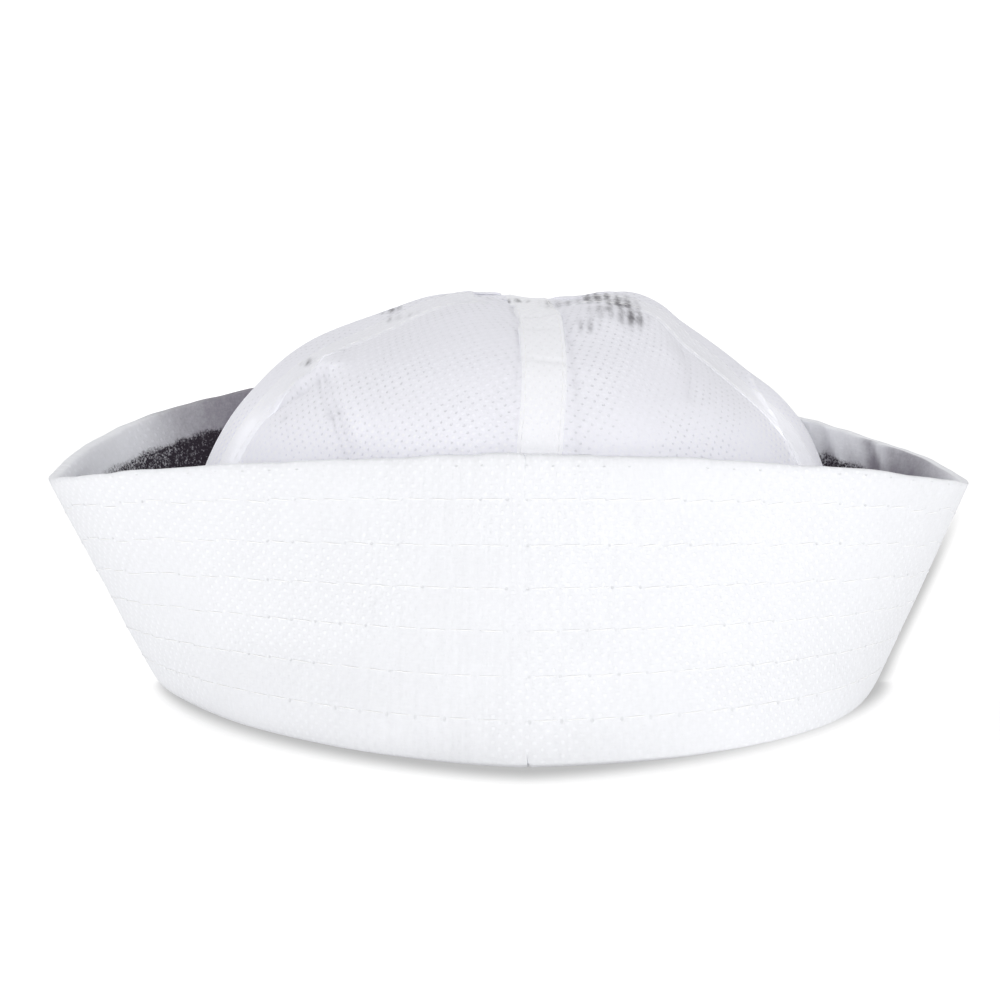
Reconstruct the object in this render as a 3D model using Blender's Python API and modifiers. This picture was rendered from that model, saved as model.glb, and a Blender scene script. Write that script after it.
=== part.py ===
"""Sailor cap: a soft crown of six cloth panels inside a tall turned-up brim of stitched cloth.

Metres, +Z up, -Y is the front. The cap stands on the fold of its brim, with the origin on the
table under the middle of its box. A direction is an angle seen from above: 0 is the front,
90 degrees is +X, 180 degrees is the back.
"""
import math

import bpy
import bmesh
from mathutils import Vector

# Plan of the brim, from the cap's axis to the outer face
BASE_HALF_WIDTH = 0.1045
BASE_FRONT_DEPTH = 0.0845
BASE_BACK_DEPTH = 0.0810
RIM_LEFT_REACH = 0.1350
RIM_RIGHT_REACH = 0.1320
RIM_FRONT_DEPTH = 0.0650
RIM_BACK_DEPTH = 0.0905

# Heights above the table
BRIM_FRONT_HEIGHT = 0.0797
BRIM_BACK_HEIGHT = 0.0796
BRIM_SIDE_HEIGHT = 0.0597
CROWN_HEIGHT = 0.1133
LAP_HEIGHT = 0.0180

# Walls and clearances
BRIM_WALL = 0.0026
LAP_WALL = 0.0016
CROWN_WALL = 0.0015
STRIP_WALL = 0.0010
STRIP_WIDTH = 0.0130
PIECE_GAP = 0.0004
FOLD_ROUND = 0.0015

# Slump and seams of the soft crown
CROWN_LEAN = 0.0050
CROWN_ROUNDNESS = 2.05
SEAM_SINK = 0.0034
SEAM_SINK_SPREAD = 0.0130
PANEL_TIP_REACH = 0.0045
CENTER_STRIP_TOP = 1.5
BRIM_SEAM_DIRECTION = 2.2

# Shares of the way up the crown: where its plan is at its own roundness, and where relief starts
# and is whole. Lower down the crown follows the fold of the brim.
ROUND_FULL = 1 / 3
RELIEF_START = 0.20
RELIEF_FULL = 0.53

# Faces along each piece. Panels, strips and brim share columns and rows, so that their flat faces
# stay parallel. A panel has one more column close to each seam, where the cloth sinks.
COLUMN_STEP = 6
SEAM_COLUMN = 3
CROWN_ROWS = 18
STRIP_COLUMNS = 4
STRIP_TOP_ROWS = 6
BRIM_WALL_ROWS = 6
LAP_ROWS = 2
PROFILE_STEP = 0.01
SEARCH_STEPS = 30
JOIN_DISTANCE = 0.00001

# Each quarter of the plan: how round the fold and the rim are (2 is an ellipse, less is more
# pinched at the sides), and the power by which the rim climbs from its side to its middle
QUARTER_COLUMNS = ("base_round", "rim_round", "climb")
QUARTERS = {
    "front_left": (1.48, 1.81, 1.06),
    "front_right": (1.92, 1.99, 1.36),
    "back_left": (2.00, 2.12, 1.20),
    "back_right": (2.00, 1.28, 0.81),
}

# Sections of the crown from its lower edge to its top. along: share of the way up the cloth.
# height: share of the crown's height over its lower edge. The rest: share of the lower edge's reach.
CROWN_COLUMNS = ("along", "height", "left", "right", "front", "back")
CROWN_SECTIONS = (
    (0.00, 0.000, 1.000, 1.000, 1.000, 1.000),
    (0.19, 0.280, 0.960, 0.950, 0.905, 0.950),
    (0.37, 0.560, 0.882, 0.885, 0.812, 0.880),
    (0.49, 0.735, 0.803, 0.757, 0.725, 0.770),
    (0.62, 0.868, 0.664, 0.560, 0.610, 0.630),
    (0.71, 0.928, 0.513, 0.449, 0.500, 0.510),
    (0.79, 0.973, 0.374, 0.367, 0.370, 0.370),
    (1.00, 1.000, 0.000, 0.000, 0.000, 0.000),
)

# Seams of the crown, by direction in degrees. The first and the fourth share one strip over the top.
SEAM_DIRECTIONS = (4.8, 77.0, 130.0, 184.8, 236.0, 285.0)

# Dents, folds and bulges of the crown. Each runs from one place to another, given by direction in
# degrees and share along the cloth. spread and raise are shares of the crown's height.
RELIEF_COLUMNS = ("name", "from_direction", "from_along", "to_direction", "to_along", "spread", "raise")
CROWN_RELIEF = (
    ("top bulge right", 55.0, 0.830, 120.0, 0.840, 0.120, 0.032),
    ("top bulge left", 300.0, 0.870, 240.0, 0.880, 0.110, 0.028),
    ("shoulder bulge left", 287.0, 0.660, 291.0, 0.640, 0.060, 0.014),
    ("crease left of front", 292.0, 0.590, 317.0, 0.430, 0.060, -0.013),
    ("shoulder dent right", 62.0, 0.650, 40.0, 0.520, 0.110, -0.012),
    ("side dent right", 80.0, 0.555, 110.0, 0.555, 0.080, -0.018),
    ("dent back", 150.0, 0.720, 165.0, 0.560, 0.120, -0.016),
    ("dent back left", 215.0, 0.640, 205.0, 0.500, 0.110, -0.012),
)

CLOTH_WHITE = (0.86, 0.86, 0.87, 1.0)
CROWN_WHITE = (0.78, 0.78, 0.82, 1.0)
STRIP_WHITE = (0.84, 0.84, 0.86, 1.0)
CLOTH_ROUGHNESS = 0.9
CREASE_ANGLE = math.radians(40)

STRIP_CLEARANCE = STRIP_WALL + 2 * PIECE_GAP
CROWN_INSET = BRIM_WALL + STRIP_CLEARANCE
CROWN_EDGE_HEIGHT = BRIM_WALL + 2 * PIECE_GAP
FRONT_EXTREME = max(BASE_FRONT_DEPTH, RIM_FRONT_DEPTH)
BACK_EXTREME = max(BASE_BACK_DEPTH, RIM_BACK_DEPTH)
LEFT_EXTREME = max(BASE_HALF_WIDTH, RIM_LEFT_REACH)
RIGHT_EXTREME = max(BASE_HALF_WIDTH, RIM_RIGHT_REACH)
AXIS_X = (LEFT_EXTREME - RIGHT_EXTREME) / 2
AXIS_Y = (FRONT_EXTREME - BACK_EXTREME) / 2


def blend(start, end, share):
    return start + (end - start) * share


def ease(value, start, end):
    """Smooth step from 0 at start to 1 at end."""
    share = min(max((value - start) / (end - start), 0.0), 1.0)
    return share * share * (3 - 2 * share)


def quarter_value(direction, column):
    """Value of a quarter's column in a direction."""
    depth_name = "front" if math.cos(direction) >= 0 else "back"
    side_name = "right" if math.sin(direction) >= 0 else "left"
    return QUARTERS[f"{depth_name}_{side_name}"][QUARTER_COLUMNS.index(column)]


def plan_reach(direction, left, right, front, back, roundness):
    """Distance from the axis to a rounded plan outline."""
    sideways = math.sin(direction)
    forwards = math.cos(direction)
    across = right if sideways >= 0 else left
    along = front if forwards >= 0 else back
    total = (abs(sideways) / across) ** roundness + (abs(forwards) / along) ** roundness
    return total ** (-1 / roundness)


def plan_point(direction, reach, height, center_shift=0.0):
    """Point at a reach from the axis, placed in the part's own frame."""
    x = AXIS_X + center_shift + reach * math.sin(direction)
    y = AXIS_Y - reach * math.cos(direction)
    return Vector((x, y, height))


def rim_height(direction):
    """The rim is low at the two sides and climbs to the front and the back."""
    roundness = quarter_value(direction, "rim_round")
    reach = plan_reach(direction, RIM_LEFT_REACH, RIM_RIGHT_REACH,
                       RIM_FRONT_DEPTH, RIM_BACK_DEPTH, roundness)
    forwards = math.cos(direction)
    depth = RIM_FRONT_DEPTH if forwards >= 0 else RIM_BACK_DEPTH
    peak = BRIM_FRONT_HEIGHT if forwards >= 0 else BRIM_BACK_HEIGHT
    climb = min(reach * abs(forwards) / depth, 1.0) ** quarter_value(direction, "climb")
    return blend(BRIM_SIDE_HEIGHT, peak, climb)


def brim_reach(direction, height, inset):
    """Reach of the brim's wall at a height, inset from its outer face."""
    rise = height / rim_height(direction)
    left = blend(BASE_HALF_WIDTH, RIM_LEFT_REACH, rise) - inset
    right = blend(BASE_HALF_WIDTH, RIM_RIGHT_REACH, rise) - inset
    front = blend(BASE_FRONT_DEPTH, RIM_FRONT_DEPTH, rise) - inset
    back = blend(BASE_BACK_DEPTH, RIM_BACK_DEPTH, rise) - inset
    roundness = blend(quarter_value(direction, "base_round"),
                      quarter_value(direction, "rim_round"), min(rise, 1.0))
    return plan_reach(direction, left, right, front, back, roundness)


def crown_value(along, column):
    """Value of a crown column, read smoothly between the table's rows."""
    index = CROWN_COLUMNS.index(column)
    knots = [row[0] for row in CROWN_SECTIONS]
    values = [row[index] for row in CROWN_SECTIONS]
    along = min(max(along, 0.0), 1.0)
    low = max(i for i in range(len(knots) - 1) if knots[i] <= along)
    high = low + 1

    def slope(i):
        before = max(i - 1, 0)
        after = min(i + 1, len(knots) - 1)
        return (values[after] - values[before]) / (knots[after] - knots[before])

    width = knots[high] - knots[low]
    t = (along - knots[low]) / width
    return (values[low] * (1 + 2 * t) * (1 - t) ** 2 + slope(low) * width * t * (1 - t) ** 2
            + values[high] * t * t * (3 - 2 * t) + slope(high) * width * t * t * (t - 1))


def crown_height(along):
    return blend(CROWN_EDGE_HEIGHT, CROWN_HEIGHT, crown_value(along, "height"))


def crown_reach(direction, along):
    """Reach of the crown's outer face. Beside the brim it keeps room there for a seam strip."""
    half_width = BASE_HALF_WIDTH - CROWN_INSET
    roundness = blend(quarter_value(direction, "base_round"), CROWN_ROUNDNESS, ease(along, 0.0, ROUND_FULL))
    if along >= 1.0:
        return 0.0
    reach = plan_reach(
        direction,
        half_width * crown_value(along, "left"),
        half_width * crown_value(along, "right"),
        (BASE_FRONT_DEPTH - CROWN_INSET) * crown_value(along, "front"),
        (BASE_BACK_DEPTH - CROWN_INSET) * crown_value(along, "back"),
        roundness,
    )
    return min(reach, brim_reach(direction, crown_height(along), CROWN_INSET))


def crown_center_shift(height):
    """The top of the soft crown leans to +X above the brim."""
    return CROWN_LEAN * ease(height, BRIM_SIDE_HEIGHT, CROWN_HEIGHT)


def along_where(measure, target):
    """Share along the crown where a measure that only falls reaches a target."""
    low = 0.0
    high = 1.0
    for _ in range(SEARCH_STEPS):
        middle = (low + high) / 2
        if measure(middle) > target:
            low = middle
        else:
            high = middle
    return (low + high) / 2


def angle_between(first, second):
    return abs((first - second + math.pi) % (2 * math.pi) - math.pi)


def crown_relief(direction, along, reach):
    """How far the cloth stands out of, or sinks into, the plain crown."""
    turn = min(angle_between(direction, math.radians(degrees)) for degrees in SEAM_DIRECTIONS)
    raised = -SEAM_SINK * math.exp(-(reach * math.sin(turn) / SEAM_SINK_SPREAD) ** 2)
    for row in CROWN_RELIEF:
        place = dict(zip(RELIEF_COLUMNS, row))
        raised += fold_height(direction, along, reach, place)
    return raised * ease(along, RELIEF_START, RELIEF_FULL)


def fold_height(direction, along, reach, place):
    """Height of one dent, fold or bulge at a place on the crown, by its distance over the cloth."""
    start = math.radians(place["from_direction"])
    run = math.radians(place["to_direction"]) - start
    cloth_length = math.hypot(CROWN_HEIGHT, BASE_HALF_WIDTH)
    offset = (direction - start + math.pi) % (2 * math.pi) - math.pi
    here = Vector((offset * reach, (along - place["from_along"]) * cloth_length))
    line = Vector((run * reach, (place["to_along"] - place["from_along"]) * cloth_length))
    share = min(max(here.dot(line) / line.length_squared, 0.0), 1.0)
    distance = (here - line * share).length
    spread = place["spread"] * CROWN_HEIGHT
    return place["raise"] * CROWN_HEIGHT * math.exp(-(distance / spread) ** 2)


def crown_point(direction, along, lift=0.0):
    """Point on the crown's outer face, or lifted off it along the profile's own normal."""
    reach = crown_reach(direction, along)
    height = crown_height(along)
    below = max(along - PROFILE_STEP, 0.0)
    above = min(along + PROFILE_STEP, 1.0)
    climb = crown_height(above) - crown_height(below)
    draw_in = crown_reach(direction, below) - crown_reach(direction, above)
    length = math.hypot(climb, draw_in)
    push = lift + crown_relief(direction, along, reach)
    reach += push * climb / length
    height += push * draw_in / length
    return plan_point(direction, reach, height, crown_center_shift(crown_height(along)))


def new_material(name, color):
    material = bpy.data.materials.new(name)
    material.use_nodes = True
    shader = material.node_tree.nodes["Principled BSDF"]
    shader.inputs["Base Color"].default_value = color
    shader.inputs["Roughness"].default_value = CLOTH_ROUGHNESS
    shader.inputs["Metallic"].default_value = 0.0
    return material


def new_piece(name, mesh_builder, color, collection):
    """Object with its own mesh and material."""
    mesh = bpy.data.meshes.new(name)
    mesh_builder.to_mesh(mesh)
    mesh_builder.free()
    mesh.shade_smooth()
    mesh.set_sharp_from_angle(angle=CREASE_ANGLE)
    mesh.materials.append(new_material(name, color))
    piece = bpy.data.objects.new(name, mesh)
    collection.objects.link(piece)
    return piece


def shaped_grid(columns, rows, point_at):
    """Primitive grid whose vertices are moved to point_at(column, row)."""
    grid = bmesh.new()
    bmesh.ops.create_grid(grid, x_segments=columns, y_segments=rows, size=1.0)
    for vertex in grid.verts:
        column = round((vertex.co.x + 1) / 2 * columns)
        row = round((vertex.co.y + 1) / 2 * rows)
        vertex.co = point_at(column, row)
    return grid


def add_cloth_wall(piece, thickness, side):
    """Solidify: side -1 puts the wall under the surface, 1 on top of it."""
    wall = piece.modifiers.new("cloth_wall", "SOLIDIFY")
    wall.thickness = thickness
    wall.offset = side
    wall.use_even_offset = True


def full_steps(start, end, step):
    """Multiples of a step between two values, apart from those close to either."""
    steps = [number * step for number in range(int(start // step), int(end // step) + 1)]
    return [value for value in steps if start + step / 4 < value < end - step / 4]


def crown_rows(end):
    """Shares along the crown of a piece's rows, from the lower edge to the piece's end."""
    return [0.0] + full_steps(0.0, end, 1 / CROWN_ROWS) + [end]


def make_crown_panel(number, collection):
    """One of the six panels, between two seams, from the brim's fold to the top."""
    start = SEAM_DIRECTIONS[number]
    end = SEAM_DIRECTIONS[(number + 1) % len(SEAM_DIRECTIONS)]
    if end < start:
        end += 360
    inner_columns = full_steps(start + SEAM_COLUMN, end - SEAM_COLUMN, COLUMN_STEP)
    columns = [start, start + SEAM_COLUMN] + inner_columns + [end - SEAM_COLUMN, end]
    columns = [math.radians(degrees) for degrees in columns]
    middle = math.radians((start + end) / 2)
    rows = crown_rows(along_where(lambda along: crown_reach(middle, along), PANEL_TIP_REACH))

    def point_at(column, row):
        along = rows[row]
        direction = columns[column]
        margin = math.asin(PIECE_GAP / crown_reach(direction, along) / 2)
        if column == 0:
            direction += margin
        if column == len(columns) - 1:
            direction -= margin
        return crown_point(direction, along)

    grid = shaped_grid(len(columns) - 1, len(rows) - 1, point_at)
    piece = new_piece(f"crown_panel_{number + 1}", grid, CROWN_WHITE, collection)
    add_cloth_wall(piece, CROWN_WALL, -1)


def strip_point(direction, along, sideways):
    """Point of a strip's lower face, off its middle line by a distance."""
    reach = crown_reach(direction, along)
    turn = math.asin(min(max(sideways / reach, -1.0), 1.0))
    return crown_point(direction + turn, along, PIECE_GAP)


def strip_point_over_top(direction, forwards, sideways):
    """Point of the centre strip's lower face near the top, by plan distances from the axis."""
    turned = direction + math.atan2(sideways, forwards)
    distance = math.hypot(forwards, sideways)
    along = along_where(lambda share: crown_reach(turned, share), distance)
    return crown_point(turned, along, PIECE_GAP)


def make_center_strip(collection):
    """Strip over the front seam, the top and the back seam."""
    front = math.radians(SEAM_DIRECTIONS[0])
    back = math.radians(SEAM_DIRECTIONS[3])
    top_reach = CENTER_STRIP_TOP * STRIP_WIDTH
    front_rows = crown_rows(along_where(lambda along: crown_reach(front, along), top_reach))
    back_rows = crown_rows(along_where(lambda along: crown_reach(back, along), top_reach))
    top_start = len(front_rows) - 1
    top_end = top_start + STRIP_TOP_ROWS
    row_count = top_end + len(back_rows) - 1

    def point_at(column, row):
        sideways = STRIP_WIDTH * (column / STRIP_COLUMNS - 0.5)
        if row <= top_start:
            return strip_point(front, front_rows[row], sideways)
        if row >= top_end:
            return strip_point(back, back_rows[row_count - row], -sideways)
        forwards = top_reach * (1 - 2 * (row - top_start) / STRIP_TOP_ROWS)
        return strip_point_over_top(front, forwards, sideways)

    grid = shaped_grid(STRIP_COLUMNS, row_count, point_at)
    piece = new_piece("seam_strip_center", grid, STRIP_WHITE, collection)
    add_cloth_wall(piece, STRIP_WALL, 1)


def strip_end_reach(number):
    """Reach at which a side strip ends so that it stays clear of the strips beside it."""
    reach = 0.0
    for other, degrees in enumerate(SEAM_DIRECTIONS):
        if other != number:
            half_turn = angle_between(math.radians(degrees), math.radians(SEAM_DIRECTIONS[number])) / 2
            room = STRIP_WIDTH * math.cos(half_turn) + PIECE_GAP / math.cos(half_turn)
            reach = max(reach, room / (2 * math.sin(half_turn)))
    return math.hypot(reach, STRIP_WIDTH / 2)


def make_side_strip(name, number, collection):
    """Strip over one side seam, ending at the centre strip."""
    direction = math.radians(SEAM_DIRECTIONS[number])
    rows = crown_rows(along_where(lambda along: crown_reach(direction, along), strip_end_reach(number)))

    def point_at(column, row):
        sideways = STRIP_WIDTH * (column / STRIP_COLUMNS - 0.5)
        return strip_point(direction, rows[row], sideways)

    grid = shaped_grid(STRIP_COLUMNS, len(rows) - 1, point_at)
    piece = new_piece(name, grid, STRIP_WHITE, collection)
    add_cloth_wall(piece, STRIP_WALL, 1)


def lap_point(direction, height, inset):
    """Point of the lap that holds the crown from inside, by its inset from the crown's outer face."""
    along = along_where(lambda share: -crown_height(share), -height)
    return plan_point(direction, crown_reach(direction, along) - inset, height)


def brim_section(direction):
    """Closed section of the brim: up the outer face, down the inner face, round the lap, under the fold."""
    top = rim_height(direction)
    lap_outer = CROWN_WALL + PIECE_GAP
    lap_inner = lap_outer + LAP_WALL

    def wall(height, inset):
        return plan_point(direction, brim_reach(direction, height, inset), height)

    wall_shares = [row / BRIM_WALL_ROWS for row in range(BRIM_WALL_ROWS + 1)]
    outer = [wall(blend(FOLD_ROUND, top, share), 0.0) for share in wall_shares]
    inner = [wall(blend(top, BRIM_WALL, share), BRIM_WALL) for share in wall_shares]
    lap_heights = [blend(CROWN_EDGE_HEIGHT, LAP_HEIGHT, row / LAP_ROWS) for row in range(LAP_ROWS + 1)]
    lap_up = [lap_point(direction, height, lap_outer) for height in [BRIM_WALL] + lap_heights]
    lap_down = [lap_point(direction, height, lap_inner) for height in reversed(lap_heights)]
    fold = [
        lap_point(direction, FOLD_ROUND, lap_inner),
        lap_point(direction, 0.0, lap_inner - FOLD_ROUND),
        wall(0.0, FOLD_ROUND),
    ]
    return outer + inner + lap_up + lap_down + fold


def make_brim_half(name, start, collection):
    """Half of the brim, from the front seam to the back seam or from the back to the front."""
    margin = math.degrees(PIECE_GAP / 2 / RIM_FRONT_DEPTH)
    end = start + 180
    columns = [start + margin] + full_steps(start, end, COLUMN_STEP) + [end - margin]
    sections = [brim_section(math.radians(degrees)) for degrees in columns]
    loop_points = len(sections[0])
    grid = shaped_grid(len(columns) - 1, loop_points,
                       lambda column, row: sections[column][row % loop_points])
    bmesh.ops.remove_doubles(grid, verts=grid.verts[:], dist=JOIN_DISTANCE)
    open_edges = [edge for edge in grid.edges if edge.is_boundary]
    bmesh.ops.holes_fill(grid, edges=open_edges, sides=0)
    bmesh.ops.recalc_face_normals(grid, faces=grid.faces[:])
    new_piece(name, grid, CLOTH_WHITE, collection)


def main():
    for leftover in list(bpy.data.objects):
        bpy.data.objects.remove(leftover)
    collection = bpy.data.collections.new("sailor_cap")
    bpy.context.scene.collection.children.link(collection)
    for number in range(len(SEAM_DIRECTIONS)):
        make_crown_panel(number, collection)
    make_center_strip(collection)
    for index, number in enumerate((1, 2, 4, 5)):
        make_side_strip(f"seam_strip_{index + 1}", number, collection)
    make_brim_half("brim_right", BRIM_SEAM_DIRECTION, collection)
    make_brim_half("brim_left", BRIM_SEAM_DIRECTION + 180, collection)


main()
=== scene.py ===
"""Sailor cap: the looks of a white cloth sailor cap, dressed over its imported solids."""
import itertools
import math

import bpy
import numpy as np
from bpy.props import FloatProperty, FloatVectorProperty, IntProperty, PointerProperty
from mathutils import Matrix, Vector
from mathutils.bvhtree import BVHTree


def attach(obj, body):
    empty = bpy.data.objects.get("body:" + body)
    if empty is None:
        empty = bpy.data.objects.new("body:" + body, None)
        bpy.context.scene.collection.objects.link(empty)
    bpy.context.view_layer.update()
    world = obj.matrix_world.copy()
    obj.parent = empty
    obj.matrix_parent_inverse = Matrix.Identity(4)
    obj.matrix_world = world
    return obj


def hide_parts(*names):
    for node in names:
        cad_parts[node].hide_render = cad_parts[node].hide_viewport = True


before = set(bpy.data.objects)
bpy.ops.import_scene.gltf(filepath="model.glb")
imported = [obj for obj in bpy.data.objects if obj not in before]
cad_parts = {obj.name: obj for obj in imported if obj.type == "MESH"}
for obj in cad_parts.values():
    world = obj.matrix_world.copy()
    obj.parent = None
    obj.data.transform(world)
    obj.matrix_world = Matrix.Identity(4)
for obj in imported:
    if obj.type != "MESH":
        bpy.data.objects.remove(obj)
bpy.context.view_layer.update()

bl_info = {
    "name": "Sailor cap",
    "version": (1, 0, 0),
    "blender": (4, 5, 0),
    "location": "3D View > Sidebar > Sailor cap",
    "description": "Dresses the solids of a sailor cap as stitched white cloth",
    "category": "Object",
}

MM = 0.001

# The cap's upright axis and the crown's round form
AXIS = np.array((1.5, -3.0, 0.0)) * MM
CROWN_HALF_SIZE = np.array((92.0, 76.0, 113.0)) * MM
CROWN_MIDDLE = np.array((4.5, -3.0, 0.0)) * MM

# Where the pieces of the frame lie, in degrees round the axis from the front
PANEL_EDGES = (4.8, 77.0, 130.0, 184.8, 236.0, 285.0, 364.8)
STRIP_DIRECTIONS = {"center": 4.8, 1: 77.0, 2: 130.0, 3: 236.0, 4: 285.0}
BRIM_SEAM_DIRECTION = 2.2
BRIM_DIRECTIONS = {"left": (182.2, 362.2), "right": (2.2, 182.2)}

# How often the cloth is divided, and how firmly the sharp edges of crown and brim are held
CLOTH_LEVELS = 3
CROWN_HOLD = 0.35
BRIM_HOLD = 0.45

# Strips: half their width, how far they settle onto the panels, and how far stitches press their edges down,
# beginning and full at these distances from the middle
STRIP_HALF_WIDTH = 6.5 * MM
STRIP_SETTLE = 0.8 * MM
EDGE_PRESS = 0.45 * MM
EDGE_PRESS_BAND = (4.2 * MM, 6.4 * MM)

# How far up the strips are sewn, in degrees up from the table, and the step between the places measured
STRIP_SEWN = (8, 86)
CENTER_SEWN = (8, 174)
SEWN_STEP = 0.5

# How much painted light brightens the crown low down, where the white brim would light it, and the heights
# that this fades over
BOUNCE = 0.38
BOUNCE_HEIGHTS = (76 * MM, 94 * MM)

# How much painted shade darkens the side strips towards the top of the crown, and the heights it does so over
STRIP_FADE = 0.18
STRIP_FADE_HEIGHTS = (82 * MM, 97 * MM)

# How far each end of the brim's halves is drawn to the other at the seam, and over what length
SEAM_DRAW = 0.35 * MM
SEAM_DRAW_LENGTH = 7 * MM

# How far the brim's outer face stands out, and how much farther at its two low front corners. Directions like
# these are degrees from the front: where something begins, is full, begins to fade and ends
BRIM_FULLER = 0.65 * MM
CORNER_LEFT = 2.0 * MM
CORNER_LEFT_SPAN = (280, 305, 325, 350)
CORNER_RIGHT = 1.2 * MM
CORNER_RIGHT_SPAN = (20, 45, 60, 80)

# The rim: how much lower it is at the front left, and how far it ripples and wanders up and down
RIM_LOWER = 0.8 * MM
RIM_LOWER_SPAN = (270, 285, 325, 345)
RIM_RIPPLE = 0.28 * MM
RIM_WANDER = 0.35 * MM

# How far a row of stitches presses the brim in, and how much painted shade darkens the outside of the brim at
# its right end
ROW_PRESS = 0.03 * MM
BRIM_END_PAINTED_SHADE = 0.20

# Gathers inside the brim at the right: how deep, how wide and where
GATHER_DEPTH = 0.75 * MM
GATHER_WIDTH = 3.8 * MM
GATHER_SPAN = (99, 104, 116, 121)

# Where the shade inside the brim reaches over the rim at the back left, and where it ends lower
BACK_LEFT_SPAN = (205, 225, 248, 256)
LEFT_TIP_SPAN = (256, 261, 279, 283)

# Rows of stitches on the brim, as shares of its height (the last is holes alone), and the gap between rows
ROW_SHARES = (0.155, 0.295, 0.440, 0.575, 0.712, 0.860, 0.972)
ROW_GAP = 11.0 * MM

# How much of its pitch a stitch fills on the brim and on the strips, and how fine the strips' thread is
BRIM_STITCH_SHARE = 0.86
STRIP_STITCH_SHARE = 0.80
STRIP_THREAD_SHARE = 0.8

# Creases and bulges of the crown: two ends, width and raise in mm, then how much painted shade darkens the
# cloth there (below zero, a painted highlight)
CREASE_COLUMNS = ("x1", "y1", "z1", "x2", "y2", "z2", "width", "raise", "dim")
CROWN_CREASES = (
    (-52.5, -31.4, 93.8, -47.8, -45.4, 85.8, 0.7, -1.0, 0.52),
    (-47.8, -45.4, 85.8, -42.4, -55.0, 74.0, 0.7, -0.7, 0.44),
    (-50.1, -33.6, 94.7, -45.3, -46.7, 86.6, 0.6, -0.7, 0.30),
    (-45.3, -46.7, 86.6, -41.2, -54.1, 77.8, 0.6, -0.5, 0.24),
    (-46.0, -35.0, 96.5, -40.5, -51.0, 83.5, 3.4, 1.0, -0.10),
    (-50.6, -26.0, 99.0, -47.8, -32.5, 97.4, 3.0, 2.0, -0.22),
    (-56.5, -27.5, 92.5, -51.5, -29.5, 96.0, 2.6, 1.3, -0.22),
    (-66.0, -27.0, 84.0, -55.5, -31.5, 90.6, 1.5, -1.1, 0.10),
    (-68.0, -25.0, 85.5, -57.0, -28.0, 92.0, 3.0, 0.7, 0.05),
    (-77.7, -27.5, 70.0, -73.0, -25.0, 79.5, 3.8, 0.7, -0.50),
    (75.0, -20.0, 84.0, 82.0, -22.0, 68.0, 9.0, 0.2, -0.30),
    (-46.4, -23.3, 101.6, -45.6, -25.0, 101.4, 0.9, -0.5, 0.60),
    (-61.6, -35.2, 84.2, -61.1, -35.8, 83.2, 0.9, -0.5, 0.55),
    (-15.1, -12.6, 112.7, 0.0, -12.0, 111.8, 1.6, -1.0, 0.30),
    (0.7, -9.5, 112.6, 2.3, -26.4, 110.3, 0.9, -0.5, 0.65),
    (2.3, -26.4, 110.3, 2.9, -37.8, 105.2, 0.8, -0.5, 0.45),
    (2.9, -37.8, 105.2, 2.1, -49.4, 97.6, 0.7, -0.4, 0.22),
    (2.1, -49.4, 97.6, 1.8, -61.0, 80.2, 0.6, -0.3, 0.12),
    (12.5, -14.0, 111.5, 33.0, -27.0, 110.5, 4.5, -0.5, 0.0),
    (41.0, -22.5, 107.8, 43.0, -33.0, 101.5, 5.0, 0.6, -0.10),
    (48.5, -22.2, 100.8, 49.8, -42.0, 91.0, 2.0, -0.6, 0.12),
    (20.0, -50.0, 96.0, 21.0, -58.0, 82.0, 3.0, -0.3, 0.0),
    (52.0, 40.0, 92.0, 66.0, 30.0, 80.0, 3.0, -1.1, 0.12),
    (30.0, 55.0, 88.0, 12.0, 60.0, 84.0, 3.0, -0.9, 0.10),
    (-30.0, 50.0, 90.0, -48.0, 36.0, 92.0, 3.2, -1.1, 0.12),
    (-62.0, 20.0, 88.0, -70.0, 5.0, 84.0, 3.0, -0.8, 0.10),
    (-20.0, 25.0, 108.0, 10.0, 30.0, 106.0, 4.0, -0.8, 0.08),
    (3.5, -23.0, 111.0, 14.0, -22.0, 111.2, 0.8, -0.6, 0.26),
    (4.0, -31.5, 108.2, 14.5, -31.0, 108.4, 0.8, -0.5, 0.16),
    (3.0, -44.0, 102.0, 16.0, -45.5, 101.0, 0.7, -0.6, 0.24),
    (15.0, -23.1, 110.4, 16.6, -36.8, 105.6, 1.0, -0.6, 0.34),
    (16.6, -36.8, 105.6, 17.9, -49.9, 96.4, 1.0, -0.5, 0.24),
    (17.9, -49.9, 96.4, 18.0, -61.0, 78.0, 1.0, -0.4, 0.16),
    (67.8, -3.2, 90.8, 73.2, -21.2, 83.7, 0.9, 0.5, -0.45),
    (73.2, -21.2, 83.7, 78.3, -27.8, 70.1, 0.9, 0.5, -0.45),
    (70.4, -12.0, 87.9, 75.5, -26.2, 78.9, 0.8, 0.4, -0.35),
    (75.5, -26.2, 78.9, 81.1, -28.5, 68.1, 0.8, 0.4, -0.35),
    (-14.0, -4.0, 113.0, -6.0, 6.0, 113.0, 13.0, 1.5, 0.0),
    (24.0, -4.0, 113.0, 32.0, 4.0, 112.5, 13.0, 1.5, 0.0),
    (62.0, -2.0, 94.0, 84.0, -2.0, 64.0, 15.0, 1.1, 0.0),
    (44.0, 2.0, 110.0, 56.0, 2.0, 101.0, 8.0, -1.0, 0.0),
    (-88.0, -2.0, 62.0, -90.0, -2.0, 50.0, 15.0, 1.0, 0.0),
    (-70.0, -2.0, 88.0, -58.0, -2.0, 97.0, 14.0, -0.5, 0.0),
)
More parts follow.
